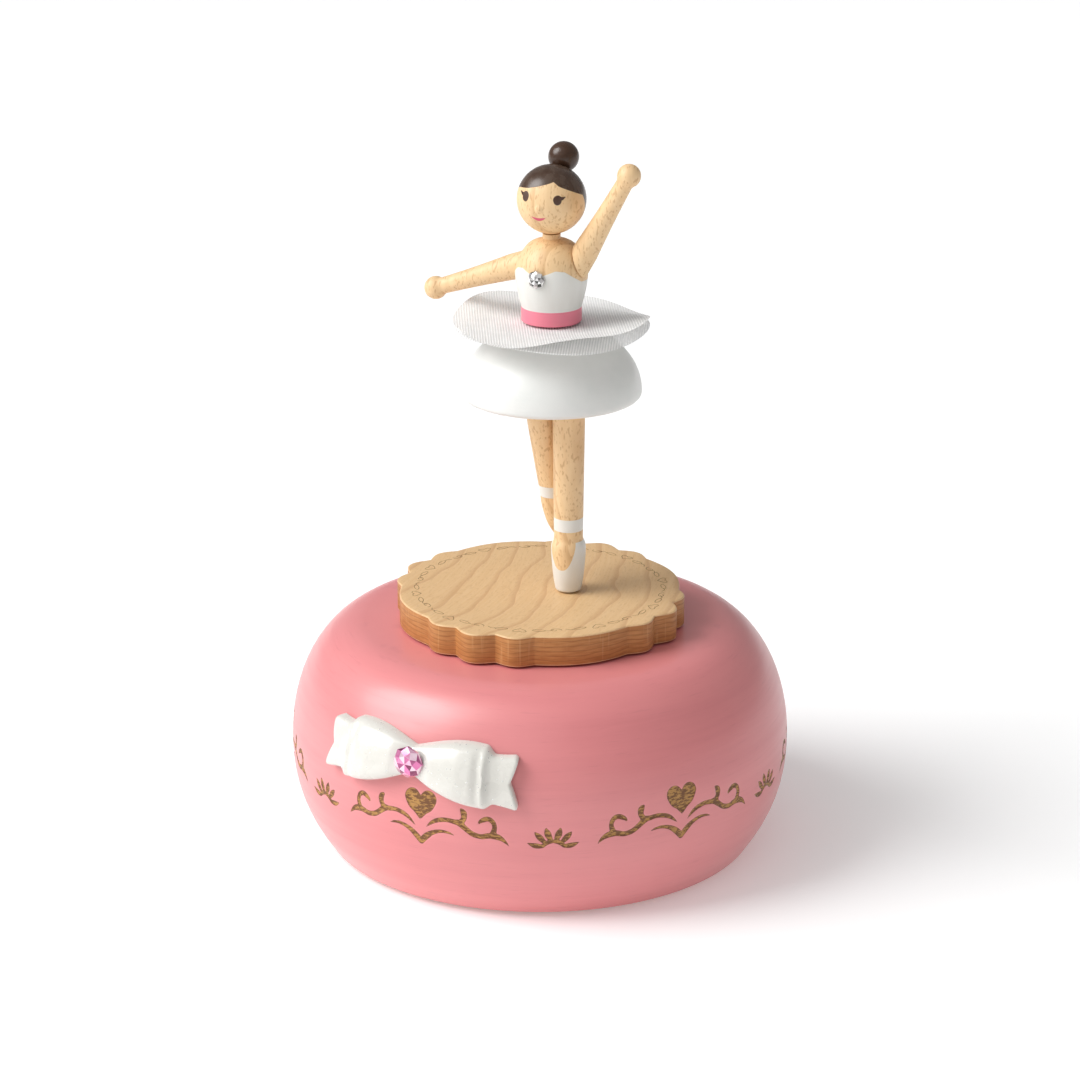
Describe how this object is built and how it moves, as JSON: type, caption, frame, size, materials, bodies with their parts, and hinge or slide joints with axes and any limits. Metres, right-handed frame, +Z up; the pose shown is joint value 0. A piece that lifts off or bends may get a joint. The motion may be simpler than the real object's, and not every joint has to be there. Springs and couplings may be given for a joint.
{
  "type": "ballerina music box",
  "caption": "Round turned-wood music box: a wooden peg ballerina on a scalloped stage that turns with the wind-up movement inside.",
  "frame": {"origin": "centre of the underside of the foot pad, on the stage's turning axis", "axes": "+Z up along the turning axis, -Y towards the front, where the bow is and where the doll faces, +X to the doll's left"},
  "size_m": [0.12, 0.1235, 0.1698],
  "materials": {
    "pink_stain": "pink stain under satin lacquer, grain showing",
    "plywood": "plain plywood",
    "foam": "black foam",
    "pearl_white": "pearly white lacquer",
    "pink_crystal": "cut stone, foil backed",
    "clear_crystal": "cut stone, foil backed",
    "zinc": "cast zinc, as cast",
    "steel": "bright steel",
    "blued_steel": "blued spring steel",
    "brass": "machined brass",
    "felt": "wool felt",
    "maple": "bare wood, light satin oil",
    "beech": "bare turned wood, partly painted",
    "white_paint": "wood painted white",
    "net": "stiff white net",
    "hair_paint": "wood painted brown, gloss",
    "nylon": "natural nylon",
    "aluminium": "thin sheet"
  },
  "bodies": {
    "case": {"base_body": "pink_stain", "bottom_cover": "plywood", "foot_pad": "foam", "bow": "pearl_white", "bow_stone": "pink_crystal", "bedplate": "zinc", "spring_cup": "steel", "mainspring": "blued_steel", "comb": "steel", "governor_frame": "brass", "cover_screw_1": "steel", "cover_screw_2": "steel", "cover_screw_3": "steel", "cover_screw_4": "steel", "bedplate_screw_1": "steel", "bedplate_screw_2": "steel", "bedplate_screw_3": "steel", "cup_rivet_1": "brass", "comb_screw_1": "steel", "governor_screw_1": "steel", "cup_rivet_2": "brass", "comb_screw_2": "steel", "governor_screw_2": "steel"},
    "turntable": {"winding_arbor": "steel", "great_wheel": "brass", "drive_collar": "steel", "stage_hub": "brass", "hub_screw_1": "steel", "hub_screw_2": "steel", "hub_screw_3": "steel", "glide_ring": "felt", "stage_disc": "maple", "foot_pin": "steel", "standing_leg": "beech", "bent_leg": "beech", "skirt": "white_paint", "tulle_lower": "net", "tulle_upper": "net", "waist_peg": "beech", "torso": "beech", "bodice_stone": "clear_crystal", "head": "beech", "bun": "hair_paint", "bun_pin": "steel"},
    "left_arm_body": {"left_arm": "beech", "left_arm_peg": "steel"},
    "right_arm_body": {"right_arm": "beech", "right_arm_peg": "steel"},
    "cylinder_body": {"cylinder": "brass", "cylinder_shaft": "steel", "cylinder_pinion": "brass", "cylinder_gear": "brass"},
    "worm_wheel_body": {"worm_wheel": "nylon", "worm_wheel_pinion": "brass"},
    "fan_body": {"worm_shaft": "steel", "air_fan": "aluminium"}
  },
  "joints": [
    {"name": "turntable_spin", "type": "hinge", "parent": "case", "child": "turntable", "pos_m": [0, 0, 0.0586], "axis": [0, 0, 1], "continuous": true},
    {"name": "cylinder_spin", "type": "hinge", "parent": "case", "child": "cylinder_body", "pos_m": [0.01719, 0, 0.03587], "axis": [1, 0, 0], "continuous": true},
    {"name": "worm_wheel_spin", "type": "hinge", "parent": "case", "child": "worm_wheel_body", "pos_m": [0.03476, 0.00855, 0.03587], "axis": [1, 0, 0], "continuous": true},
    {"name": "fan_spin", "type": "hinge", "parent": "case", "child": "fan_body", "pos_m": [0.03536, 0.0145, 0.03587], "axis": [0, 0, 1], "continuous": true},
    {"name": "left_arm_turn", "type": "hinge", "parent": "turntable", "child": "left_arm_body", "pos_m": [0.0097, 0.001, 0.1434], "axis": [0.9397, 0, 0.342], "continuous": true},
    {"name": "right_arm_turn", "type": "hinge", "parent": "turntable", "child": "right_arm_body", "pos_m": [-0.0047, 0.001, 0.1414], "axis": [-0.9397, 0, 0.342], "continuous": true}
  ],
  "couplings": [
    {"joint": "cylinder_spin", "follows": "turntable_spin", "ratio": 5.25},
    {"joint": "worm_wheel_spin", "follows": "turntable_spin", "ratio": -19.688},
    {"joint": "fan_spin", "follows": "turntable_spin", "ratio": 393.75}
  ]
}
